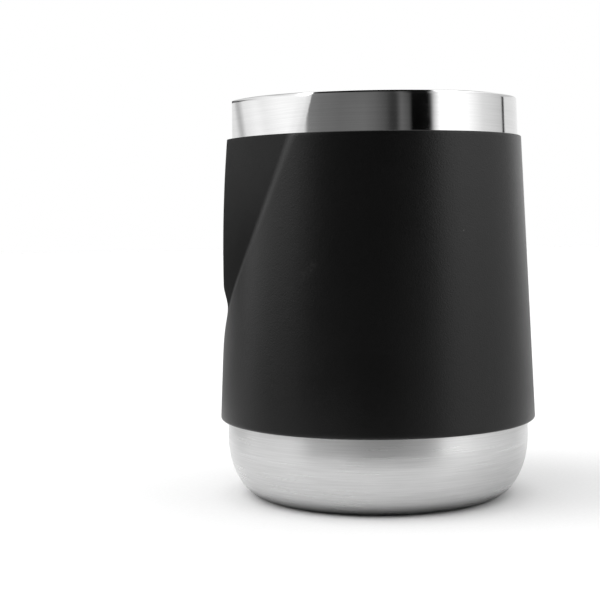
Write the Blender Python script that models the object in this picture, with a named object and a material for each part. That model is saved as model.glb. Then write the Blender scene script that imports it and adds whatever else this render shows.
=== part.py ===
"""Milk frothing pitcher: a drawn steel vessel with a pinched spout, and the silicone sleeve round it.

Metres, +Z up. The origin is on the vessel's axis, at the plane of its foot. The spout points to -X.
Every horizontal section of both pieces is a circle whose front is pinched: two slightly crowned
facets run from a crease on the circle to the spout's tip. The crease starts at a point halfway up
the wall and climbs outwards to the rim.
"""
import math

import bmesh
import bpy

# Vessel
RIM_HEIGHT = 0.1160        # foot plane to rim, away from the spout
RIM_RADIUS = 0.0415        # outer radius at the rim
WALL_TAPER = 0.0316        # outer radius gained per metre of drop
SHEET = 0.0008             # steel thickness
SHOULDER_HEIGHT = 0.0180   # the rounded base, an elliptical quarter
SHOULDER_WIDTH = 0.0105
RECESS_RADIUS = 0.0295     # shallow dish pressed into the bottom, inside the foot ring
RECESS_DEPTH = 0.0006
RECESS_EDGE = 0.0010       # radial width of the dish's sloping edge
RIM_ROUND = 0.0002         # softened corners of the cut rim

# Sleeve
SLEEVE_BOTTOM = 0.0228
SLEEVE_TOP = 0.1051
SLEEVE_WALL_BOTTOM = 0.00195
SLEEVE_WALL_TOP = 0.00065
LIP_ROUND = 0.0003         # softened corners at the sleeve's top and bottom edges
GAP = 0.0003               # clearance between sleeve and steel

# Spout
VERTEX_HEIGHT = 0.0520     # where the two creases meet
VERTEX_BLEND = 0.0050      # height over which the point of the V fades into the wall
CREASE_SPREAD = 19.34      # crease angle squared, in radians, gained per metre of height
KNEE_START = 0.0525        # the sleeve's nose stands out from the chord between the creases above this
KNEE_RISE = 0.0100
NOSE_FACTOR_LOW = 1.22     # the nose's reach over that chord, in sagittas, at the top of the knee
NOSE_FACTOR_RIM = 1.045     # the same at the rim
STEEL_TIP = 0.0428         # the steel's own reach at the tip, at the rim
STEEL_TIP_TAPER = 0.006    # and what it gains per metre of drop, down to the knee
STEEL_TIP_FADE = 0.014     # height below the knee over which it rejoins the tapered wall
FACET_CROWN = 0.30         # 0 is a flat facet, 1 follows the circle
TIP_ROUND = math.radians(1.5)
CREASE_ROUND_LOW = 0.005   # radius along the crease, at the vertex and at the rim
CREASE_ROUND_RIM = 0.010
LIP_RISE = 0.0010          # the rim stands higher at the spout's tip

# Mesh density
TIP_TO_CREASE = (0.0, 0.06, 0.16, 0.34, 0.54, 0.74, 0.90, 1.0)
CREASE_TO_BACK = (0.025, 0.07) + tuple(k / 16 for k in range(2, 17))
NARROWEST_SECTOR = math.radians(20.0)
SLEEVE_LEVELS = (0.030, 0.038, 0.045, 0.049, 0.0525, 0.055, 0.058, 0.062, 0.068, 0.076, 0.085, 0.095)
RIM_LEVELS = (0.1107,)
SHOULDER_STEPS = 6


def wall_radius(height):
    """Outer radius of the vessel's tapered wall."""
    return RIM_RADIUS + WALL_TAPER * (RIM_HEIGHT - height)


def crease_angle(height):
    """Angle between the spout's direction and the crease, at a height."""
    steps = (height - VERTEX_HEIGHT) / VERTEX_BLEND
    climbed = VERTEX_BLEND * math.log1p(math.exp(steps))
    return math.sqrt(CREASE_SPREAD * climbed)


def nose_reach(radius, height):
    """Reach of the sleeve's outer face at the spout's tip, before it is rounded."""
    rise = min(max((height - KNEE_START) / KNEE_RISE, 0.0), 1.0)
    knee_top = KNEE_START + KNEE_RISE
    along = (height - knee_top) / (RIM_HEIGHT - knee_top)
    full = NOSE_FACTOR_LOW + (NOSE_FACTOR_RIM - NOSE_FACTOR_LOW) * along
    chord = radius * math.cos(crease_angle(height))
    return chord + math.sin(rise * math.pi / 2) * full * (radius - chord)


def steel_tip_reach(height):
    """Reach of the vessel's outer face at the tip. It never grows upwards, so the sleeve lifts off."""
    pinched = STEEL_TIP + STEEL_TIP_TAPER * (RIM_HEIGHT - height)
    fade = min(max((KNEE_START - height) / STEEL_TIP_FADE, 0.0), 1.0)
    fade = fade * fade * (3 - 2 * fade)
    return pinched + (wall_radius(height) - pinched) * fade


def smooth_min(a, b, width):
    """The lesser of two lengths, rounded where they cross."""
    overlap = max(width - abs(a - b), 0.0) / width
    return min(a, b) - overlap * overlap * width / 4


def section_radius(angle, radius, tip, height):
    """Distance from the axis to a section's outline, at an angle from the spout's direction."""
    crease = crease_angle(height)
    chord = radius * math.cos(crease)
    facing = math.atan2(tip - chord, radius * math.sin(crease))
    distance = tip * math.cos(facing)
    turn = crease - facing
    if angle >= crease + turn:
        return radius
    soft = math.hypot(angle, min(TIP_ROUND, facing / 2))
    flat = distance / math.cos(soft - facing)
    if soft < crease:
        crowned = radius + (tip - radius) * (1 - soft / crease) ** 2
        flat += FACET_CROWN * (crowned - flat)
    if angle <= facing:
        return flat
    along = (height - VERTEX_HEIGHT) / (RIM_HEIGHT - VERTEX_HEIGHT)
    rounding = CREASE_ROUND_LOW + (CREASE_ROUND_RIM - CREASE_ROUND_LOW) * max(along, 0.0)
    width = min(rounding * turn * turn / 2, 0.5 * (radius - distance))
    return smooth_min(flat, radius, width)


def lip_rise(angle, height):
    """Extra height of the wall near the spout's tip, growing towards the rim."""
    climbed = max(height - VERTEX_HEIGHT, 0.0) / (RIM_HEIGHT - VERTEX_HEIGHT)
    reach = min(angle / crease_angle(height), 1.0)
    return LIP_RISE * climbed ** 3 * math.cos(reach * math.pi / 2)


def sector_angles(height):
    """Angles from the tip to the back, closer together at the tip and at the crease."""
    edge = max(crease_angle(height), NARROWEST_SECTOR)
    front = [edge * part for part in TIP_TO_CREASE]
    back = [edge + (math.pi - edge) * part for part in CREASE_TO_BACK]
    return front + back


def ring(radius, tip, height):
    """One closed section, anticlockwise from above, starting at the spout's tip."""
    near = []
    for angle in sector_angles(height):
        reach = section_radius(angle, radius, tip, height)
        level = height + lip_rise(angle, height)
        near.append((-reach * math.cos(angle), -reach * math.sin(angle), level))
    far = [(x, -y, z) for x, y, z in reversed(near[1:-1])]
    return near + far


def round_ring(radius, height):
    """A plain circular section with a ring's own spacing, for the base."""
    return ring(radius, radius, height)


def steel_ring(height, inset):
    """A section of the vessel's wall, moved inwards from its outer face."""
    return ring(wall_radius(height) - inset, steel_tip_reach(height) - inset, height)


def loft(name, rings, closed):
    """Skin a list of rings; closed joins the last ring to the first, else both ends are capped."""
    mesh = bpy.data.meshes.new(name)
    bm = bmesh.new()
    loops = [[bm.verts.new(point) for point in points] for points in rings]
    pairs = list(zip(loops, loops[1:]))
    if closed:
        pairs.append((loops[-1], loops[0]))
    for low, high in pairs:
        count = len(low)
        for k in range(count):
            after = (k + 1) % count
            bm.faces.new((low[k], low[after], high[after], high[k]))
    if not closed:
        bm.faces.new(list(reversed(loops[0])))
        bm.faces.new(loops[-1])
    bmesh.ops.triangulate(bm, faces=bm.faces[:], quad_method="SHORT_EDGE", ngon_method="BEAUTY")
    bm.normal_update()
    bm.to_mesh(mesh)
    bm.free()
    mesh.shade_smooth()
    mesh.set_sharp_from_angle(angle=math.radians(35.0))
    piece = bpy.data.objects.new(name, mesh)
    bpy.context.scene.collection.objects.link(piece)
    return piece


def wall_levels():
    """Heights that the vessel and the sleeve share, so that their facets stay parallel."""
    return (SLEEVE_BOTTOM,) + SLEEVE_LEVELS + (SLEEVE_TOP,)


def shoulder(inset):
    """Rings up the rounded base, for the sheet's outside (inset 0) or its inside."""
    rings = []
    flat_radius = wall_radius(SHOULDER_HEIGHT) - inset - SHOULDER_WIDTH
    drop = SHOULDER_HEIGHT - inset
    for step in range(SHOULDER_STEPS + 1):
        angle = math.pi / 2 * (1 - step / SHOULDER_STEPS)
        radius = flat_radius + SHOULDER_WIDTH * math.cos(angle)
        rings.append(round_ring(radius, SHOULDER_HEIGHT - drop * math.sin(angle)))
    return rings


def pitcher_vessel():
    """One closed sheet: bottom dish, foot ring, rounded base, wall, rim, and the same again inside."""
    dish_edge = RECESS_RADIUS + RECESS_EDGE
    levels = wall_levels() + RIM_LEVELS + (RIM_HEIGHT - RIM_ROUND,)
    outside = [round_ring(RECESS_RADIUS, RECESS_DEPTH), round_ring(dish_edge, 0.0)]
    outside += shoulder(0.0) + [steel_ring(z, 0.0) for z in levels]
    rim = [steel_ring(RIM_HEIGHT, RIM_ROUND), steel_ring(RIM_HEIGHT, SHEET - RIM_ROUND)]
    inside = [steel_ring(z, SHEET) for z in reversed(levels)] + shoulder(SHEET)[::-1]
    floor = [round_ring(dish_edge, SHEET), round_ring(RECESS_RADIUS, RECESS_DEPTH + SHEET)]
    return loft("pitcher_vessel", outside + rim + inside + floor, closed=False)


def sleeve_radius(height):
    """Outer radius of the sleeve, whose wall thickens towards its foot."""
    along = (height - SLEEVE_BOTTOM) / (SLEEVE_TOP - SLEEVE_BOTTOM)
    thickness = SLEEVE_WALL_BOTTOM + (SLEEVE_WALL_TOP - SLEEVE_WALL_BOTTOM) * along
    return wall_radius(height) + GAP + thickness


def sleeve_ring(height, inset=0.0):
    """A section of the sleeve's outer face."""
    radius = sleeve_radius(height)
    return ring(radius - inset, nose_reach(radius, height) - inset, height)


def grip_sleeve():
    """A tapered silicone band that follows the vessel's wall all round, with a nose over the spout."""
    ends = (SLEEVE_BOTTOM + LIP_ROUND, SLEEVE_TOP - LIP_ROUND)
    outside = [sleeve_ring(z) for z in ends[:1] + SLEEVE_LEVELS + ends[1:]]
    top = [sleeve_ring(SLEEVE_TOP, LIP_ROUND)]
    inside = [steel_ring(z, -GAP) for z in reversed(wall_levels())]
    bottom = [sleeve_ring(SLEEVE_BOTTOM, LIP_ROUND)]
    return loft("grip_sleeve", outside + top + inside + bottom, closed=True)


def finish(piece, name, colour, roughness, metallic):
    """Give a piece its own Principled material."""
    material = bpy.data.materials.new(name)
    material.use_nodes = True
    shader = material.node_tree.nodes["Principled BSDF"]
    shader.inputs["Base Color"].default_value = (*colour, 1.0)
    shader.inputs["Roughness"].default_value = roughness
    shader.inputs["Metallic"].default_value = metallic
    piece.data.materials.append(material)


def build():
    for old in list(bpy.data.objects):
        bpy.data.objects.remove(old, do_unlink=True)
    finish(pitcher_vessel(), "satin_steel", (0.62, 0.62, 0.61), 0.28, 1.0)
    finish(grip_sleeve(), "black_silicone", (0.012, 0.012, 0.013), 0.55, 0.0)


build()
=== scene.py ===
# %% [markdown]
# # A milk frothing pitcher
#
# Baristas steam and pour milk from a pitcher like this one. It is a cup drawn from thin stainless
# steel, with its front pinched to a pouring spout, and a silicone sleeve that keeps the fingers off
# the hot metal. This lesson builds both pieces with Blender's own modelling operators, gives each
# one its finish with nodes, and lights them as a small product studio would.
#
# The imported CAD model comes first. It is the frame for every size and place below, and the new
# pieces take the places of its two plain solids.

import math

import bmesh
import bpy
from mathutils import Matrix, Vector


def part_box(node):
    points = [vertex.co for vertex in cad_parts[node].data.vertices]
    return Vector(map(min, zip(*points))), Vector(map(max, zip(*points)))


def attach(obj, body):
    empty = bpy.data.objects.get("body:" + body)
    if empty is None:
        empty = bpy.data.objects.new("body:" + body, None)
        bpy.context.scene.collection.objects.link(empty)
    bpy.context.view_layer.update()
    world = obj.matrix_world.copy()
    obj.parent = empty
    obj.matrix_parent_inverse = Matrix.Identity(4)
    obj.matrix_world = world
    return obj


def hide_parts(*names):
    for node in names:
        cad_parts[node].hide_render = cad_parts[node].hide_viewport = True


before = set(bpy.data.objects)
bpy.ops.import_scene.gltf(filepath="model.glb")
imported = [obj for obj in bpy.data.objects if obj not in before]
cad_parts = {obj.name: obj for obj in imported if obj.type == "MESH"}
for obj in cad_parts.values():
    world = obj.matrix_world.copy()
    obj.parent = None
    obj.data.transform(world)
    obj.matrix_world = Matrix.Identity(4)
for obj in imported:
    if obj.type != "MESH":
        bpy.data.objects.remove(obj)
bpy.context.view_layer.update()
sleeve_low, sleeve_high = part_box("grip_sleeve")
print("CAD sleeve:", round(1000 * (sleeve_high.z - sleeve_low.z), 1), "mm tall")

# %% [markdown]
# ## The pitcher's sizes
#
# Everything is in metres, with the foot on z = 0 and the spout pointing to -X. The wall is a cone
# that widens downwards, standing on a rounded shoulder. The sleeve follows the cone and gets thicker
# towards its foot. These are the driving sizes of the CAD model, so the two models agree.

# %% Driving sizes
RIM_HEIGHT = 0.1160        # foot plane to rim, away from the spout
RIM_RADIUS = 0.0415        # outside, at the rim
WALL_TAPER = 0.0316        # radius gained per metre of drop
SHEET = 0.0008             # steel thickness
SHOULDER_HEIGHT = 0.0180   # the rounded base is a quarter of an ellipse
SHOULDER_WIDTH = 0.0105
DISH_RADIUS = 0.0295       # shallow dish pressed into the bottom, inside the foot ring
DISH_DEPTH = 0.0006
DISH_EDGE = 0.0010
SLEEVE_BOTTOM = sleeve_low.z
SLEEVE_TOP = 0.1051        # away from the spout, where the lip doesn't lift it
SLEEVE_WALL_BOTTOM = 0.00195
SLEEVE_WALL_TOP = 0.00065
GAP = 0.0003               # clearance between sleeve and steel
SIDES = 360                # points round every ring


def wall_radius(height):
    """Outer radius of the steel cone."""
    return RIM_RADIUS + WALL_TAPER * (RIM_HEIGHT - height)


def sleeve_radius(height):
    """Outer radius of the sleeve."""
    along = (height - SLEEVE_BOTTOM) / (SLEEVE_TOP - SLEEVE_BOTTOM)
    thickness = SLEEVE_WALL_BOTTOM + (SLEEVE_WALL_TOP - SLEEVE_WALL_BOTTOM) * along
    return wall_radius(height) + GAP + thickness


print("sleeve foot is", round(2000 * sleeve_radius(SLEEVE_BOTTOM), 1), "mm across")

# %% [markdown]
# ## The pinch
#
# On the real pitcher a press folds the round wall into two nearly flat facets that meet at the
# spout. Seen from the side, the fold's crease starts a little below halfway up and climbs away from
# the spout to the rim. Bending by hand with proportional editing would give no clean crease, so the
# fold is one formula: for a direction and a height it gives the wall's distance from the axis. The
# pieces are first made round, and then each of their points is moved to that distance.

# %% Sizes of the pinch
VERTEX_HEIGHT = 0.0520     # where the two creases meet
VERTEX_BLEND = 0.0050      # how softly they start there
CREASE_SPREAD = 19.34      # crease angle squared, in radians, gained per metre of height
KNEE_START = 0.0525        # the sleeve's nose comes out from this height
KNEE_RISE = 0.0100         # and is fully out this much higher
NOSE_FACTOR_LOW = 1.22     # its tip: 0 is on the chord between the creases, 1 is on the circle
NOSE_FACTOR_RIM = 1.045
STEEL_TIP = 0.0428         # distance of the steel's tip from the axis, at the rim
STEEL_TIP_TAPER = 0.006    # gained per metre of drop
STEEL_TIP_FADE = 0.014     # drop in which the tip fades into the round wall, under the knee
FACET_CROWN = 0.30         # 0 is a flat facet, 1 follows the circle
TIP_ROUND = math.radians(1.5)
CREASE_ROUND_LOW = 0.005   # radius that the crease is rounded with, at its start
CREASE_ROUND_RIM = 0.010
LIP_RISE = 0.0010          # the rim stands higher at the spout's tip
LEAST_BLEND = 1e-9         # keeps the width of a rounding from being zero


# %% Creases and tips
def clamp(value):
    """The value, kept between 0 and 1."""
    return min(max(value, 0.0), 1.0)


def crease_angle(height):
    """Angle from the spout's direction to the crease."""
    steps = (height - VERTEX_HEIGHT) / VERTEX_BLEND
    return math.sqrt(CREASE_SPREAD * VERTEX_BLEND * math.log1p(math.exp(steps)))


def nose_reach(radius, height):
    """Reach of the sleeve's outer face at the tip."""
    rise = clamp((height - KNEE_START) / KNEE_RISE)
    knee_top = KNEE_START + KNEE_RISE
    along = (height - knee_top) / (RIM_HEIGHT - knee_top)
    full = NOSE_FACTOR_LOW + (NOSE_FACTOR_RIM - NOSE_FACTOR_LOW) * along
    chord = radius * math.cos(crease_angle(height))
    return chord + math.sin(rise * math.pi / 2) * full * (radius - chord)


def steel_tip_reach(height):
    """Reach of the steel at the tip."""
    pinched = STEEL_TIP + STEEL_TIP_TAPER * (RIM_HEIGHT - height)
    fade = clamp((KNEE_START - height) / STEEL_TIP_FADE)
    fade = fade * fade * (3 - 2 * fade)
    return pinched + (wall_radius(height) - pinched) * fade


print("crease at the rim:", round(math.degrees(crease_angle(RIM_HEIGHT)), 1), "degrees off the spout")


# %% Sections of the wall
def section_reach(angle, radius, tip, height):
    """Distance from the axis to a pinched section, at an angle from the spout's direction."""
    crease = crease_angle(height)
    chord = radius * math.cos(crease)
    facing = math.atan2(tip - chord, radius * math.sin(crease))
    distance = tip * math.cos(facing)
    turn = crease - facing
    if angle >= crease + turn:
        return radius
    soft = math.hypot(angle, min(TIP_ROUND, facing / 2))
    flat = distance / math.cos(soft - facing)
    if soft < crease:
        crowned = radius + (tip - radius) * (1 - soft / crease) ** 2
        flat += FACET_CROWN * (crowned - flat)
    if angle <= facing:
        return flat
    along = (height - VERTEX_HEIGHT) / (RIM_HEIGHT - VERTEX_HEIGHT)
    rounding = CREASE_ROUND_LOW + (CREASE_ROUND_RIM - CREASE_ROUND_LOW) * max(along, 0.0)
    width = max(min(rounding * turn * turn / 2, 0.5 * (radius - distance)), LEAST_BLEND)
    overlap = max(width - abs(flat - radius), 0.0) / width
    return min(flat, radius) - overlap * overlap * width / 4


def lip_rise(angle, height):
    """Extra height near the spout's tip, growing towards the rim."""
    climbed = max(height - VERTEX_HEIGHT, 0.0) / (RIM_HEIGHT - VERTEX_HEIGHT)
    reach = min(angle / crease_angle(height), 1.0)
    return LIP_RISE * climbed ** 3 * math.cos(reach * math.pi / 2)


def steel_reach(angle, height, outwards=0.0):
    """The steel wall's outer face, or a skin parallel to it."""
    return section_reach(
        angle, wall_radius(height) + outwards, steel_tip_reach(height) + outwards, height
    )


def sleeve_reach(angle, height):
    """The sleeve's outer face."""
    radius = sleeve_radius(height)
    return section_reach(angle, radius, nose_reach(radius, height), height)


print("steel tip at the rim:", round(1000 * steel_reach(0.0, RIM_HEIGHT), 1), "mm from the axis")

# %% [markdown]
# ## Helpers for modelling
#
# Each piece starts as a circle and is drawn up ring by ring, as a metal spinner or a lathe would
# shape it. An operator acts on whatever is selected, so the helpers first clear the selection and
# then choose edges by their place.


# %% Start a ring and select its edges
def deselect_all():
    """Leave nothing selected, in object mode."""
    if bpy.context.object and bpy.context.object.mode != "OBJECT":
        bpy.ops.object.mode_set(mode="OBJECT")
    bpy.ops.object.select_all(action="DESELECT")


def circle(name, radius, height, fill):
    """A new circle round the axis, with its place in its mesh, in edit mode."""
    deselect_all()
    bpy.ops.mesh.primitive_circle_add(
        vertices=SIDES, radius=radius, fill_type=fill, location=(0.0, 0.0, height)
    )
    bpy.ops.object.transform_apply(location=True, rotation=True, scale=True)
    piece = bpy.context.object
    piece.name = name
    piece.data.name = name
    bpy.ops.object.mode_set(mode="EDIT")
    bpy.ops.mesh.select_mode(type="EDGE")
    return piece


def pick_edges(piece, wanted):
    """Select just the edges that a test accepts, and say how many there are."""
    bpy.ops.mesh.select_all(action="DESELECT")
    mesh = bmesh.from_edit_mesh(piece.data)
    picked = [edge for edge in mesh.edges if wanted(edge)]
    for edge in picked:
        edge.select = True
    mesh.select_flush_mode()
    bmesh.update_edit_mesh(piece.data)
    return len(picked)


# %% Draw a ring up, and find edges again
SLACK = 0.00002            # two places nearer than this are the same
NEAR_END = 0.01            # an upright edge starts and ends this near to its wall's ends


def draw_through(profile):
    """Extrude the selected ring through (radius, height) points; the first is where it is now."""
    for (radius, height), (next_radius, next_height) in zip(profile, profile[1:]):
        lift = (0.0, 0.0, next_height - height)
        bpy.ops.mesh.extrude_edges_move(TRANSFORM_OT_translate={"value": lift})
        grow = next_radius / radius
        bpy.ops.transform.resize(value=(grow, grow, 1.0), center_override=(0.0, 0.0, 0.0))


def reach_of(point):
    """Distance of a point from the axis."""
    return math.hypot(point.x, point.y)


def is_ring(edge, radius, height):
    """Whether an edge lies on the ring with this radius and height."""
    return all(
        abs(v.co.z - height) < SLACK and abs(reach_of(v.co) - radius) < SLACK for v in edge.verts
    )


def is_upright(edge, low, high):
    """Whether an edge runs up a wall, from near one height to near another."""
    heights = sorted(v.co.z for v in edge.verts)
    return heights[0] < low + NEAR_END and heights[1] > high - NEAR_END


# %% Pinch, smooth and measure a piece
def spout_angle(point):
    """Angle between a point's direction and the spout's."""
    return math.atan2(abs(point.y), -point.x)


def pinch(piece, reach_at):
    """Move every point above the shoulder to its pinched place."""
    for vertex in piece.data.vertices:
        point = vertex.co.copy()
        if point.z <= SHOULDER_HEIGHT:
            continue
        angle = spout_angle(point)
        grow = reach_at(angle, point) / reach_of(point)
        vertex.co = (point.x * grow, point.y * grow, point.z + lip_rise(angle, point.z))


def smooth(piece, degrees):
    """Smooth shading, but for edges sharper than this."""
    deselect_all()
    bpy.context.view_layer.objects.active = piece
    piece.select_set(True)
    bpy.ops.object.shade_smooth_by_angle(angle=math.radians(degrees))


def measure(piece):
    """Print a piece's size and its number of triangles."""
    points = [vertex.co for vertex in piece.data.vertices]
    sizes = [max(p[k] for p in points) - min(p[k] for p in points) for k in range(3)]
    triangles = sum(len(face.vertices) - 2 for face in piece.data.polygons)
    print(piece.name, [round(1000 * size, 2) for size in sizes], "mm,", triangles, "triangles")


# %% [markdown]
# ## The steel vessel
#
# A real pitcher is drawn from one disc of sheet: the bottom keeps a shallow dish so that it stands
# on a ring and doesn't rock. The model copies that order. A filled circle is the dish, its edge is
# extruded to the foot ring, round the shoulder and up the wall, and the wall is cut into rings so
# that the pinch has points to move. Only then does Solidify give the sheet its thickness, inwards,
# and Bevel softens the cut edge of the rim.

# %% Draw the vessel
SHOULDER_STEPS = 24
WALL_CUTS = 84

foot_radius = wall_radius(SHOULDER_HEIGHT) - SHOULDER_WIDTH
shoulder = []
for step in range(SHOULDER_STEPS + 1):
    turn = math.pi / 2 * step / SHOULDER_STEPS
    shoulder.append(
        (foot_radius + SHOULDER_WIDTH * math.sin(turn), SHOULDER_HEIGHT * (1 - math.cos(turn)))
    )
profile = [(DISH_RADIUS, DISH_DEPTH), (DISH_RADIUS + DISH_EDGE, 0.0)]
profile += shoulder + [(RIM_RADIUS, RIM_HEIGHT)]

vessel = circle("milk_pitcher_vessel", DISH_RADIUS, DISH_DEPTH, "TRIFAN")
pick_edges(vessel, lambda edge: is_ring(edge, DISH_RADIUS, DISH_DEPTH))
draw_through(profile)
uprights = pick_edges(vessel, lambda edge: is_upright(edge, SHOULDER_HEIGHT, RIM_HEIGHT))
bpy.ops.mesh.subdivide(number_cuts=WALL_CUTS)
bpy.ops.mesh.select_all(action="SELECT")
bpy.ops.mesh.normals_make_consistent(inside=False)
print(uprights, "upright edges, each cut", WALL_CUTS, "times")

# %% Pinch it, and give the sheet its thickness
RIM_ROUND = 0.00022        # the cut edge of the sheet is broken by this much
SHARP = math.radians(50.0)

deselect_all()
pinch(vessel, lambda angle, point: steel_reach(angle, point.z))
wall_face = max(vessel.data.polygons, key=lambda face: face.center.x)
print("wall faces outwards:", wall_face.normal.x > 0)

vessel.select_set(True)
bpy.context.view_layer.objects.active = vessel
sheet = vessel.modifiers.new("sheet", "SOLIDIFY")
sheet.thickness = SHEET
sheet.offset = -1.0
sheet.use_even_offset = True
bpy.ops.object.modifier_apply(modifier="sheet")
rim = vessel.modifiers.new("rim", "BEVEL")
rim.limit_method = "ANGLE"
rim.angle_limit = SHARP
rim.width = RIM_ROUND
rim.segments = 3
bpy.ops.object.modifier_apply(modifier="rim")
smooth(vessel, degrees=40.0)
measure(vessel)

# %% [markdown]
# ## The grip sleeve
#
# The sleeve is one moulding of silicone, pushed on from the top. Its profile is a long thin wedge,
# so it is drawn as a ring too: up the outside, over the top edge, down the inside, and bridged shut
# at the foot. The corners are bevelled, more at the foot, where a hand would feel them. The inside
# follows the steel with a small gap, and the outside has a sharper nose over the spout.

# %% Draw the sleeve
OUTSIDE_CUTS = 100
INSIDE_CUTS = 40
FOOT_ROUND = 0.00065
TOP_ROUND = 0.00025

outer_foot = (sleeve_radius(SLEEVE_BOTTOM), SLEEVE_BOTTOM)
outer_top = (sleeve_radius(SLEEVE_TOP), SLEEVE_TOP)
inner_top = (wall_radius(SLEEVE_TOP) + GAP, SLEEVE_TOP)
inner_foot = (wall_radius(SLEEVE_BOTTOM) + GAP, SLEEVE_BOTTOM)

sleeve = circle("silicone_grip_sleeve", *outer_foot, "NOTHING")
bpy.ops.mesh.select_all(action="SELECT")
draw_through([outer_foot, outer_top, inner_top, inner_foot])
pick_edges(sleeve, lambda edge: is_ring(edge, *outer_foot) or is_ring(edge, *inner_foot))
bpy.ops.mesh.bridge_edge_loops()
pick_edges(sleeve, lambda edge: is_ring(edge, *outer_foot))
bpy.ops.mesh.bevel(offset=FOOT_ROUND, segments=6, profile=0.5, affect="EDGES")
pick_edges(sleeve, lambda edge: is_ring(edge, *outer_top))
bpy.ops.mesh.bevel(offset=TOP_ROUND, segments=4, profile=0.5, affect="EDGES")


# %% Cut its walls into rings
def is_outside(point):
    """Whether a point is nearer to the sleeve's outer face than to its inner one."""
    middle = (sleeve_radius(point.z) + wall_radius(point.z) + GAP) / 2
    return reach_of(point) > middle


for outside, cuts in ((True, OUTSIDE_CUTS), (False, INSIDE_CUTS)):
    pick_edges(
        sleeve,
        lambda edge: is_upright(edge, SLEEVE_BOTTOM, SLEEVE_TOP)
        and is_outside(edge.verts[0].co) == outside,
    )
    bpy.ops.mesh.subdivide(number_cuts=cuts)
bpy.ops.mesh.select_all(action="SELECT")
bpy.ops.mesh.normals_make_consistent(inside=False)
deselect_all()
print("sleeve cut into", OUTSIDE_CUTS + 1, "bands outside and", INSIDE_CUTS + 1, "inside")

# %% [markdown]
# ## Marking the facets, and the pinch
#
# The sleeve's two facets get a rougher skin and painted shade, which make them darker than its round
# part. The material can't tell them apart by itself, so every point gets a number, 1 on a facet and
# 0 off it, which changes softly across the crease and at the facets' foot. An attribute of the mesh
# keeps the numbers for the material. Then the pinch moves the points: those between the two faces go
# as far as their share of the wall.

# %% Mark the facets
FACET_SOFT = math.radians(3.0)
FACET_FOOT_SOFT = 0.0060


def facet_mark(point):
    """1 on a facet, 0 off it, and soft in between."""
    inside_crease = (crease_angle(point.z) - spout_angle(point)) / FACET_SOFT
    above_foot = (point.z - VERTEX_HEIGHT) / FACET_FOOT_SOFT
    return clamp(inside_crease) * clamp(above_foot)


marks = [facet_mark(vertex.co) for vertex in sleeve.data.vertices]
sleeve.data.attributes.new("facet", "FLOAT", "POINT").data.foreach_set("value", marks)
print(round(sum(marks)), "points lie on the facets")


# %% Pinch the sleeve
def wedge_reach(angle, point):
    """Where a point between the sleeve's two faces goes."""
    inner = wall_radius(point.z) + GAP
    share = (reach_of(point) - inner) / (sleeve_radius(point.z) - inner)
    return (1 - share) * steel_reach(angle, point.z, GAP) + share * sleeve_reach(angle, point.z)


pinch(sleeve, wedge_reach)
smooth(sleeve, degrees=50.0)
measure(sleeve)

# %% [markdown]
# ## Writing materials as sums
#
# A material is a graph of nodes, but most of it is arithmetic: a mask times a depth, one minus a
# share. The small class below wraps a node's output, so that `1 - mask` or `wear * 0.2` adds the
# Math node it needs, and the formulas can be read as formulas.


# %% A node's output, for use in sums
class Signal:
    """One output of a node, which can be used in sums."""

    def __init__(self, graph, socket):
        self.graph = graph
        self.socket = socket

    def __add__(self, other):
        return self.graph.math("ADD", self, other)

    def __radd__(self, other):
        return self.graph.math("ADD", other, self)

    def __sub__(self, other):
        return self.graph.math("SUBTRACT", self, other)

    def __rsub__(self, other):
        return self.graph.math("SUBTRACT", other, self)

    def __mul__(self, other):
        return self.graph.math("MULTIPLY", self, other)

    def __rmul__(self, other):
        return self.graph.math("MULTIPLY", other, self)

    def __truediv__(self, other):
        return self.graph.math("DIVIDE", self, other)

    def output(self, name):
        """Another output of the same node."""
        return Signal(self.graph, self.socket.node.outputs[name])


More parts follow.
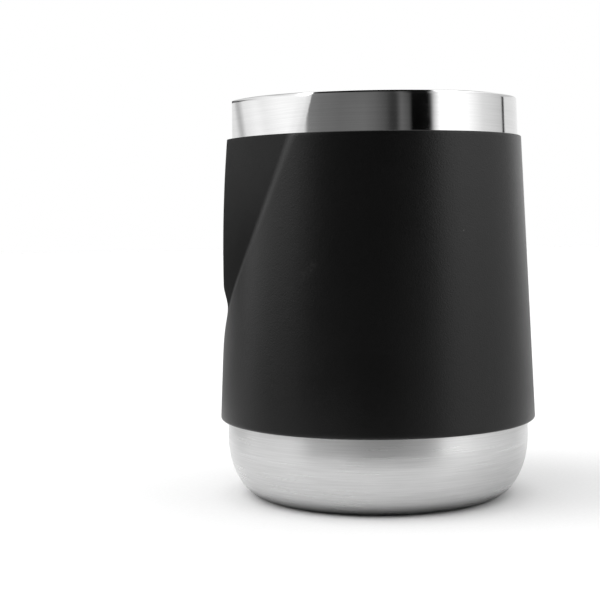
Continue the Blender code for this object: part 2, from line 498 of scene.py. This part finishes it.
# %% The nodes of a material
class Graph:
    """The nodes of one material or world."""

    def __init__(self, owner):
        owner.use_nodes = True
        self.tree = owner.node_tree
        self.tree.nodes.clear()

    def add(self, kind, settings=None, inputs=None, output=0):
        """A node: its settings first, then the values or links of its sockets."""
        node = self.tree.nodes.new(kind)
        for name, value in (settings or {}).items():
            if name == "stops":
                self.fill_ramp(node.color_ramp, value)
            else:
                setattr(node, name, value)
        for name, value in (inputs or {}).items():
            if isinstance(value, Signal):
                self.tree.links.new(value.socket, node.inputs[name])
            else:
                node.inputs[name].default_value = value
        return Signal(self, node.outputs[output]) if node.outputs else node

    def fill_ramp(self, ramp, stops):
        """Set a ramp's stops from (place, grey) pairs."""
        while len(ramp.elements) > 1:
            ramp.elements.remove(ramp.elements[-1])
        for k, (place, grey) in enumerate(stops):
            element = ramp.elements[0] if k == 0 else ramp.elements.new(place)
            element.position = place
            element.color = (grey, grey, grey, 1.0)

    def math(self, operation, first, second=0.0):
        """A Math node."""
        return self.add("ShaderNodeMath", {"operation": operation}, {0: first, 1: second})

    def mix(self, share, first, second):
        """A colour between two others."""
        return self.add(
            "ShaderNodeMix", {"data_type": "RGBA"}, {0: share, 6: first, 7: second}, output=2
        )

    def vector(self, x, y, z):
        """A vector from its three parts."""
        return self.add("ShaderNodeCombineXYZ", None, {0: x, 1: y, 2: z})

    def place(self):
        """The x, y and z of the point that is shaded, on its own piece."""
        spot = self.add("ShaderNodeTexCoord", None, None, output="Object")
        parts = self.add("ShaderNodeSeparateXYZ", None, {0: spot})
        return parts, parts.output("Y"), parts.output("Z")

    def noise(self, vector, scale=1.0, detail=2.0, roughness=0.5):
        """Soft noise between 0 and 1, around one half."""
        return self.add(
            "ShaderNodeTexNoise",
            None,
            {"Vector": vector, "Scale": scale, "Detail": detail, "Roughness": roughness},
        )

    def between(self, value, low, high, to_low=0.0, to_high=1.0):
        """Rescale a value smoothly and keep it within its new limits."""
        return self.add(
            "ShaderNodeMapRange",
            {"interpolation_type": "SMOOTHSTEP"},
            {"Value": value, 1: low, 2: high, 3: to_low, 4: to_high},
        )

    def grey(self, value):
        """A grey colour from one number."""
        return self.add(
            "ShaderNodeCombineColor", None, {"Red": value, "Green": value, "Blue": value}
        )

    def bump(self, height, depth):
        """A surface normal from a height between 0 and 1, and its depth in metres."""
        return self.add(
            "ShaderNodeBump", None, {"Strength": 1.0, "Distance": depth, "Height": height}
        )

    def principled(self, **sockets):
        """A Principled shader; base_color sets its socket Base Color, and so on."""
        inputs = {}
        for name, value in sockets.items():
            inputs[name.replace("_", " ").title().replace("Ior", "IOR")] = value
        return self.add("ShaderNodeBsdfPrincipled", None, inputs)

    def surface(self, shader):
        """Join a shader to the material's output."""
        self.add("ShaderNodeOutputMaterial", None, {"Surface": shader})


def new_material(name):
    """A material and its graph."""
    material = bpy.data.materials.new(name)
    return material, Graph(material)


# %% [markdown]
# ## Brushed and polished steel
#
# Stainless steel has one colour, and its finish is in its scratches. The base is brushed on a lathe:
# fine lines run round it, and they smear each reflection up and down, which the Anisotropic socket
# does. The rim band is polished after that, so it mirrors the studio, with only a trace of the lines.
# The pattern is noise that is stretched round the axis. Its level follows the height on the wall and
# the distance from the axis on the flat bottom, so that the rings run on from one to the other.


# %% Brushing pattern
FLAT_REACH = 0.034         # inside this distance from the axis, the bottom's rings are counted
NOISE_LOW = 0.30           # noise seldom leaves these limits, so they are stretched to a finish's
NOISE_HIGH = 0.70          # own two values
PATCH_LOW = 0.35           # a higher low limit makes patches on an even ground


def brushing(graph, length, pitch):
    """Noise in streaks round the axis, of a length and a pitch in metres."""
    x, y, z = graph.place()
    reach = graph.math("SQRT", x * x + y * y)
    level = z + graph.math("MINIMUM", reach, FLAT_REACH)
    return graph.noise(graph.vector(x / length, y / length, level / pitch), detail=3.0)


def smudges(graph, size):
    """Soft patches, as from handling."""
    x, y, z = graph.place()
    return graph.noise(graph.vector(x / size, y / size, z / size), detail=4.0, roughness=0.6)


# %% Satin steel, for the base
satin_steel, graph = new_material("satin_brushed_steel")
fine = brushing(graph, length=0.014, pitch=0.00032)
broad = brushing(graph, length=0.035, pitch=0.0021)
hands = smudges(graph, size=0.016)
lines = fine * 0.65 + broad * 0.35
brushed = graph.principled(
    base_color=graph.grey(graph.between(lines, NOISE_LOW, NOISE_HIGH, 0.565, 0.640)),
    metallic=1.0,
    roughness=graph.between(lines, NOISE_LOW, NOISE_HIGH, 0.33, 0.25) + hands * 0.03,
    anisotropic=0.75,
    anisotropic_rotation=0.25,
    normal=graph.bump(fine, depth=0.0000035),
)
graph.surface(brushed)
print("satin steel:", len(satin_steel.node_tree.nodes), "nodes")

# %% Polished steel, for the rim band
polished_steel, graph = new_material("polished_steel")
fine = brushing(graph, length=0.030, pitch=0.00042)
hands = smudges(graph, size=0.012)
polished = graph.principled(
    base_color=graph.grey(graph.between(fine, NOISE_LOW, NOISE_HIGH, 0.63, 0.67)),
    metallic=1.0,
    roughness=graph.between(hands, PATCH_LOW, NOISE_HIGH, 0.055, 0.10),
    normal=graph.bump(fine, depth=0.0000008),
)
graph.surface(polished)
print("polished steel:", len(polished_steel.node_tree.nodes), "nodes")

# %% Steel inside the cup
inner_steel, graph = new_material("satin_steel_inside")
fine = brushing(graph, length=0.020, pitch=0.00045)
hands = smudges(graph, size=0.020)
satin = graph.principled(
    base_color=graph.grey(graph.between(fine, NOISE_LOW, NOISE_HIGH, 0.58, 0.64)),
    metallic=1.0,
    roughness=graph.between(fine, NOISE_LOW, NOISE_HIGH, 0.34, 0.27) + hands * 0.04,
    anisotropic=0.5,
    anisotropic_rotation=0.25,
    normal=graph.bump(fine, depth=0.0000025),
)
graph.surface(satin)
print("inside steel:", len(inner_steel.node_tree.nodes), "nodes")

# %% [markdown]
# ## Black silicone
#
# The sleeve is moulded in a sandblasted tool, so it has a fine even grain and little gloss. Silicone
# is slightly sticky and holds a few specks of dust, and handling leaves patches that shine a little
# more. Black rubber is darker than it looks: nearly all that one sees is the sheen on its grain. One
# faint rub mark runs up the front. Its place and direction are given on the piece, so that it stays
# there from every side.

# %% A rub mark and dust
RUB_X = -0.0180            # the middle of the rub mark, on the front
RUB_Z = 0.0680
RUB_COS = 0.64             # its direction, as it climbs to the right
RUB_SIN = 0.77
RUB_ALONG = (0.001, 0.0050)       # where it starts to fade and where it ends, from its middle
RUB_ACROSS = (0.0002, 0.0014)
RUB_FRONT = (-0.02, 0.0)          # it fades out here, so that the far wall has none
RUB_PATCHES = (0.35, 0.60)        # and only the noise above this is rubbed
SPECK_SIZE = (0.020, 0.034)       # as shares of a cell
DUST_CELLS = 210.0         # cells in a metre
DUSTY_FROM = 0.955         # a cell holds a speck where its random number is above this


def rub_mark(graph, spot, x, y, z):
    """A short streak, broken up by noise."""
    along = (x - RUB_X) * RUB_COS + (z - RUB_Z) * RUB_SIN
    across = (z - RUB_Z) * RUB_COS - (x - RUB_X) * RUB_SIN
    rubbed = graph.between(graph.math("ABSOLUTE", along), *RUB_ALONG, 1.0, 0.0)
    rubbed = rubbed * graph.between(graph.math("ABSOLUTE", across), *RUB_ACROSS, 1.0, 0.0)
    patchy = graph.between(graph.noise(spot, scale=900.0, detail=3.0), *RUB_PATCHES)
    return rubbed * patchy * graph.between(y, *RUB_FRONT, 1.0, 0.0)


def dust(graph, spot):
    """A speck in a few of the cells that fill the space."""
    cells = graph.add("ShaderNodeTexVoronoi", None, {"Vector": spot, "Scale": DUST_CELLS})
    drawn = graph.add("ShaderNodeSeparateColor", None, {0: cells.output("Color")})
    dusty = graph.math("GREATER_THAN", drawn, DUSTY_FROM)
    return graph.between(cells, *SPECK_SIZE, 1.0, 0.0) * dusty


print("rub mark:", round(2000 * RUB_ALONG[1], 1), "mm long,", round(2000 * RUB_ACROSS[1], 1), "mm wide")

# %% [markdown]
# ## The sleeve's skin, and painted shade on its facets
#
# A facet gets a rougher skin than the round part, most of all near its foot. More roughness alone
# would spread the sheen but keep its strength, so a shaded copy of the silicone with a much weaker
# sheen is mixed in: painted shade on the facets, strongest near their foot. The specular level is
# one number on each shader's own socket, and what changes over the piece is only the factor of a
# Mix Shader, which an export can bake.

# %% Silicone
BLACK = (0.0008, 0.0008, 0.0008, 1.0)
DUST_GREY = (0.16, 0.16, 0.155, 1.0)
RUB_STRENGTH = 0.035
COARSE_FROM = (0.060, 0.094)      # heights between which a facet's added roughness drops
COARSE = (0.42, 0.34)
PAINTED_SHADE_FROM = (0.062, 0.110)        # and those between which the painted shade's share drops
PAINTED_SHADE_SHARES = (0.80, 0.18)

black_silicone, graph = new_material("black_silicone")
x, y, z = graph.place()
spot = graph.vector(x, y, z)
facet = graph.add("ShaderNodeAttribute", {"attribute_name": "facet"}, None, output="Fac")
grain = graph.noise(spot, scale=2400.0, detail=2.0, roughness=0.6)
ripple = graph.noise(spot, scale=260.0, detail=2.0)
handling = graph.noise(spot, scale=42.0, detail=5.0, roughness=0.6)
marks = graph.math("MAXIMUM", dust(graph, spot), rub_mark(graph, spot, x, y, z) * RUB_STRENGTH)
coarse = facet * graph.between(z, *COARSE_FROM, *COARSE)
skin = {
    "base_color": graph.mix(marks, BLACK, DUST_GREY),
    "roughness": graph.between(handling, PATCH_LOW, NOISE_HIGH, 0.34, 0.30) + coarse,
    "normal": graph.bump(grain * 0.8 + ripple * 0.2, depth=0.000060),
}
moulded = graph.principled(specular_ior_level=0.32, **skin)
# a shaded copy with a much weaker sheen: painted shade, mixed in over the facets by the share below
shaded_copy = graph.principled(specular_ior_level=0.03, **skin)
painted_shade_share = facet * graph.between(z, *PAINTED_SHADE_FROM, *PAINTED_SHADE_SHARES)
graph.surface(graph.add("ShaderNodeMixShader", None, {0: painted_shade_share, 1: moulded, 2: shaded_copy}))
print("silicone:", len(black_silicone.node_tree.nodes), "nodes")

# %% [markdown]
# ## Dress the pieces
#
# The vessel gets its three finishes by face: inside, the rim band, and all the rest outside. The
# band's lower edge lies under the sleeve, where it doesn't show until the sleeve is pulled off.
# Each piece then rides on its moving body and hides the CAD solid that it stands for.

# %% Finishes by face
POLISH_FROM = 0.0990       # height of the polished band's lower edge
LEVEL_NORMAL = 0.3         # a face whose normal rises more than this lies on the cup's floor
OUTSIDE, BAND, INSIDE = range(3)

for material in (satin_steel, polished_steel, inner_steel):
    vessel.data.materials.append(material)
for face in vessel.data.polygons:
    outwards = face.normal.x * face.center.x + face.normal.y * face.center.y
    on_floor = face.normal.z > LEVEL_NORMAL and face.center.z < SHOULDER_HEIGHT
    on_lip = face.center.z > RIM_HEIGHT - RIM_ROUND / 2
    if (outwards < 0 or on_floor) and not on_lip:
        face.material_index = INSIDE
    elif face.center.z > POLISH_FROM:
        face.material_index = BAND
sleeve.data.materials.append(black_silicone)
indices = [face.material_index for face in vessel.data.polygons]
counts = [indices.count(finish) for finish in (OUTSIDE, BAND, INSIDE)]
print("faces outside, on the band, inside:", counts)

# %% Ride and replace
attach(vessel, "pitcher")
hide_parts("pitcher_vessel")
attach(sleeve, "sleeve")
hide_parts("grip_sleeve")
print("dressed:", vessel.name, "and", sleeve.name)

# %% [markdown]
# ## The table
#
# The pitcher stands on a seamless white table. White paper all round would fill the steel's base
# with white reflections, so in a studio black cloth is laid round the object, out of view. Here the
# paper's material does that: where a Light Path node says that a glossy ray asks, which is one that
# left a shiny surface, some areas are dark, and it also paints shadow close to the base into those
# reflections. For the camera and for soft light it is all white.

# %% The tabletop
TABLE_REACH = 3.0
INNER_REACH = 0.5

deselect_all()
bpy.ops.mesh.primitive_circle_add(vertices=96, radius=INNER_REACH, fill_type="NGON")
floor = bpy.context.object
floor.name = "studio_floor"
bpy.ops.object.mode_set(mode="EDIT")
bpy.ops.mesh.select_mode(type="EDGE")
pick_edges(floor, lambda edge: is_ring(edge, INNER_REACH, 0.0))
draw_through([(INNER_REACH, 0.0), (TABLE_REACH, 0.0)])
deselect_all()
print("table:", 2 * TABLE_REACH, "m across")

# %% Where its reflection is dark
CLOTH_FROM = (0.14, 0.26)         # distances from the axis between which the black cloth comes in
CLOTH_SHARE = 0.95
OPEN_BACK_Y = (0.0, 0.05)         # behind the spout it is thinner by this share
OPEN_BACK_X = (0.0, 0.06)
OPEN_BACK_SHARE = 0.35
OPEN_RIGHT = (0.03, 0.10)         # and on the right by this share
OPEN_RIGHT_SHARE = 0.55
FAR_BACK = (0.35, 0.70)           # far behind the spout it thins out a little further
FAR_BACK_SHARE = 0.5
FRONT_TURN = math.radians(8.0)    # a strip of cloth in front lies this much to the right
FRONT_FROM = (0.08, 0.15)
FRONT_SIDE = (0.0, 0.04)
FRONT_SHARE = 0.8
FOOT_SHADE = (0.0355, 0.0430)     # painted shadow in the narrow gap under the rounded base, seen in reflections
FOOT_SHARE = 0.93
RIGHT_FROM = (0.030, 0.050)       # a faint painted shadow close to the base on the right, seen in reflections
RIGHT_REACH = (0.06, 0.10)
RIGHT_SHARE = 0.12


def dark_share(graph, x, y):
    """How dark the table is for a reflection, from 0 to 1."""
    reach = graph.math("SQRT", x * x + y * y)
    back = graph.between(y, *OPEN_BACK_Y) * graph.between(x, *OPEN_BACK_X, OPEN_BACK_SHARE, 0.0)
    open_side = graph.math("MAXIMUM", back, OPEN_RIGHT_SHARE * graph.between(x, *OPEN_RIGHT))
    cloth = graph.between(reach, *CLOTH_FROM, 0.0, CLOTH_SHARE) * (1 - open_side)
    cloth = cloth * (1 - FAR_BACK_SHARE * back * graph.between(reach, *FAR_BACK))
    forwards = x * math.sin(FRONT_TURN) - y * math.cos(FRONT_TURN)
    front = graph.between(reach - forwards, *FRONT_SIDE, FRONT_SHARE, 0.0)
    front = front * graph.between(forwards, *FRONT_FROM)
    # painted shadow in the gap under the base, and a faint one on its right, both seen only in
    # reflections
    foot = graph.between(reach, *FOOT_SHADE, FOOT_SHARE, 0.0)
    right_painted_shadow = graph.between(reach, *RIGHT_REACH, 1.0, 0.0)
    right_painted_shadow = right_painted_shadow * graph.between(x, *RIGHT_FROM, 0.0, RIGHT_SHARE)
    dark = graph.math("MAXIMUM", cloth, front)
    dark = graph.math("MAXIMUM", dark, foot)
    return graph.math("MAXIMUM", dark, right_painted_shadow)


# %% White paper
NEAR_BLACK = (0.01, 0.01, 0.01, 1.0)

paper, graph = new_material("white_paper")
x, y, z = graph.place()
fibres = graph.noise(graph.vector(x, y, z), scale=900.0, detail=3.0)
white = graph.grey(graph.between(fibres, NOISE_LOW, NOISE_HIGH, 0.83, 0.85))
white_sheet = graph.add("ShaderNodeBsdfDiffuse", None, {"Color": white})
cloth_and_painted_shadow = graph.add("ShaderNodeBsdfDiffuse", None, {"Color": NEAR_BLACK})
mirrored = graph.add("ShaderNodeLightPath", None, None, output="Is Glossy Ray")
share = dark_share(graph, x, y) * mirrored
graph.surface(graph.add("ShaderNodeMixShader", None, {0: share, 1: white_sheet, 2: cloth_and_painted_shadow}))
floor.data.materials.append(paper)
print("paper:", len(paper.node_tree.nodes), "nodes")

# %% [markdown]
# ## The ring of light
#
# Polished metal shows its surroundings, so the studio is drawn as a world. Its light is a ring round
# the object: a white wall behind, a large softbox on each side, and a dark front. Each ramp below
# holds the brightness by direction at one height, in degrees from the front, with the right side
# positive. Four heights are mixed into one another under a bright ceiling. Behind the spout two black
# flags leave a slanting strip of light between them, which the rim's pinched facet shows as a bright
# line. The camera itself sees plain white, as behind a product in a catalogue.

# %% Brightness round the ring
HORIZON_RING = (
    (-180, 1.00), (-137, 1.04),                                         # white wall behind
    (-134.4, 0.60), (-133.2, 0.60),                                     # gap beside the wall
    (-131, 1.10), (-118, 1.48), (-110, 1.62), (-98, 1.38), (-83, 1.25), (-57, 1.02),   # left softbox
    (-54, 0.29), (-42, 0.22), (-27, 0.19), (-8, 0.21), (0, 0.17),       # grey front
    (8, 0.115), (13, 0.045), (17, 0.045), (21, 0.18), (27, 0.11),
    (29.5, 0.003), (44.6, 0.003),                                       # black board
    (48, 0.95), (53, 1.75), (62, 2.0), (78, 1.60), (95, 1.06), (121.6, 0.76),   # right softbox
    (122.7, 0.01), (125.1, 0.01),                                       # black gap beside the wall
    (126.5, 1.00), (180, 1.00),                                         # white wall behind
)
LOW_RING = (
    (-180, 1.0), (-125, 1.05), (-110, 1.45), (-98, 1.33), (-83, 1.23), (-57, 1.00),
    (-54, 0.29), (-27, 0.19), (0, 0.17), (15, 0.05), (21, 0.16), (30, 0.01), (43, 0.01),
    (53, 1.7), (62, 1.9), (78, 1.5), (95, 1.08), (124, 0.75), (180, 0.8),
)
MIDDLE_RING = (
    (-180, 0.7), (-150, 0.6), (-115, 0.7), (-97, 2.2), (-82, 4.8), (-67, 4.6), (-56, 2.0),
    (-50, 0.0), (46, 0.0), (52, 2.7), (67, 2.9), (82, 2.2), (112, 1.8), (142, 1.3), (172, 0.8),
)
HIGH_RING = (
    (-180, 0.35), (-130, 0.3), (-100, 1.2), (-60, 0.8), (45, 0.6), (67, 0.3), (112, 0.4), (172, 0.4),
)
RINGS = (HORIZON_RING, LOW_RING, MIDDLE_RING, HIGH_RING)
print("stops in the rings of light:", [len(ring) for ring in RINGS])

# %% Heights of the rings, and the strip light
LOW_FROM = (0.135, 0.165)         # every height is the sine of the angle above the horizon
MIDDLE_FROM = (0.26, 0.33)
HIGH_FROM = (0.48, 0.60)
CEILING_FROM = (0.77, 0.86)
CEILING = (2.0, 2.0, 2.0, 1.0)
STEEP_END = (-110.0, 0.208)       # the strip's middle follows the higher of two lines; each has
STEEP_SLOPE = 0.0047              # one point, in degrees and height, and a slope
FLAT_END = (-150.0, 0.073)
FLAT_SLOPE = 0.0014
FLAG_FROM = (0.032, 0.048)        # the flags start this far above and below it
FLAG_SIDE = (-119.0, -111.0)      # end here, towards the left softbox
FLAG_TOP = (0.15, 0.20)           # and stand no higher than this
FLAG_SHARE = 0.97


def flag_share(graph, degrees, height):
    """How much of the ring's light the black flags take away."""
    steep = (degrees - STEEP_END[0]) * STEEP_SLOPE + STEEP_END[1]
    flat = (degrees - FLAT_END[0]) * FLAT_SLOPE + FLAT_END[1]
    off_strip = graph.math("ABSOLUTE", height - graph.math("MAXIMUM", steep, flat))
    side = graph.between(degrees, *FLAG_SIDE, FLAG_SHARE, 0.0)
    return graph.between(off_strip, *FLAG_FROM) * side * graph.between(height, *FLAG_TOP, 1.0, 0.0)


# %% World
world = bpy.data.worlds.new("studio")
bpy.context.scene.world = world
graph = Graph(world)
direction = graph.add("ShaderNodeTexCoord", None, None, output="Generated")
x = graph.add("ShaderNodeSeparateXYZ", None, {0: direction})
y, height = x.output("Y"), x.output("Z")
compass = graph.math("ARCTAN2", x, 0 - y) / (2 * math.pi) + 0.5
horizon, low, middle, high = (
    graph.add(
        "ShaderNodeValToRGB",
        {"stops": [((angle + 180) / 360, grey) for angle, grey in ring]},
        {"Fac": compass},
    )
    for ring in RINGS
)
light = graph.mix(graph.between(height, *LOW_FROM), horizon, low)
light = graph.mix(graph.between(height, *MIDDLE_FROM), light, middle)
light = graph.mix(graph.between(height, *HIGH_FROM), light, high)
light = graph.mix(flag_share(graph, compass * 360 - 180, height), light, NEAR_BLACK)
light = graph.mix(graph.between(height, *CEILING_FROM), light, CEILING)
studio = graph.add("ShaderNodeBackground", None, {"Color": light})
backdrop = graph.add("ShaderNodeBackground", None, {"Color": (1.0, 1.0, 1.0, 1.0)})
seen = graph.add("ShaderNodeLightPath", None, None, output="Is Camera Ray")
shown = graph.add("ShaderNodeMixShader", None, {0: seen, 1: studio, 2: backdrop})
graph.add("ShaderNodeOutputWorld", None, {"Surface": shown})
bpy.context.scene.view_settings.view_transform = "Standard"
print("world:", len(world.node_tree.nodes), "nodes")

# %% [markdown]
# ## A soft light from above
#
# The ring alone leaves the table round the pitcher greyer than the backdrop. A large area light, high
# on the left, brings it up to white. The steel already mirrors the ring, so this light is left out
# of what glossy rays see.

# %% Overhead light
OVERHEAD_PLACE = Vector((-1.25, -0.6, 1.25))
OVERHEAD_SIZE = 2.4
OVERHEAD_WATTS = 14.0

overhead_data = bpy.data.lights.new("overhead", "AREA")
overhead_data.shape = "SQUARE"
overhead_data.size = OVERHEAD_SIZE
overhead_data.energy = OVERHEAD_WATTS
overhead = bpy.data.objects.new("overhead", overhead_data)
bpy.context.scene.collection.objects.link(overhead)
overhead.location = OVERHEAD_PLACE
overhead.rotation_euler = OVERHEAD_PLACE.to_track_quat("Z", "Y").to_euler()
overhead.visible_glossy = False
print("overhead light:", OVERHEAD_WATTS, "W,", OVERHEAD_SIZE, "m wide")

# %% [markdown]
# ## The camera
#
# A short telephoto stands a little above the middle of the pitcher and looks slightly down, so that
# the rim is seen from just below and the spout points to the left.

# %% Camera
CAMERA_PLACE = Vector((0.0, -0.40995, 0.0827))
LOOK_DOWN = math.radians(3.505)
LOOK_LEFT = math.radians(3.175)
TILT = 0.0125              # the camera leans sideways by this much, in radians
LENS = 82.5                # focal length and sensor in millimetres
SENSOR = 36.0
NEAREST = 0.01             # nothing nearer to the camera than this is drawn

ahead = Vector((
    -math.sin(LOOK_LEFT) * math.cos(LOOK_DOWN),
    math.cos(LOOK_LEFT) * math.cos(LOOK_DOWN),
    -math.sin(LOOK_DOWN),
))
right = Vector((math.cos(LOOK_LEFT), math.sin(LOOK_LEFT), 0.0))
up = right.cross(ahead)
side = right * math.cos(TILT) - up * math.sin(TILT)
top = right * math.sin(TILT) + up * math.cos(TILT)
camera_data = bpy.data.cameras.new("camera")
camera_data.lens = LENS
camera_data.sensor_width = SENSOR
camera_data.clip_start = NEAREST
camera = bpy.data.objects.new("camera", camera_data)
bpy.context.scene.collection.objects.link(camera)
axes = Matrix((side, top, -ahead)).transposed().to_4x4()
camera.matrix_world = Matrix.Translation(CAMERA_PLACE) @ axes
bpy.context.scene.camera = camera
print("camera to pitcher:", round(CAMERA_PLACE.length, 3), "m")
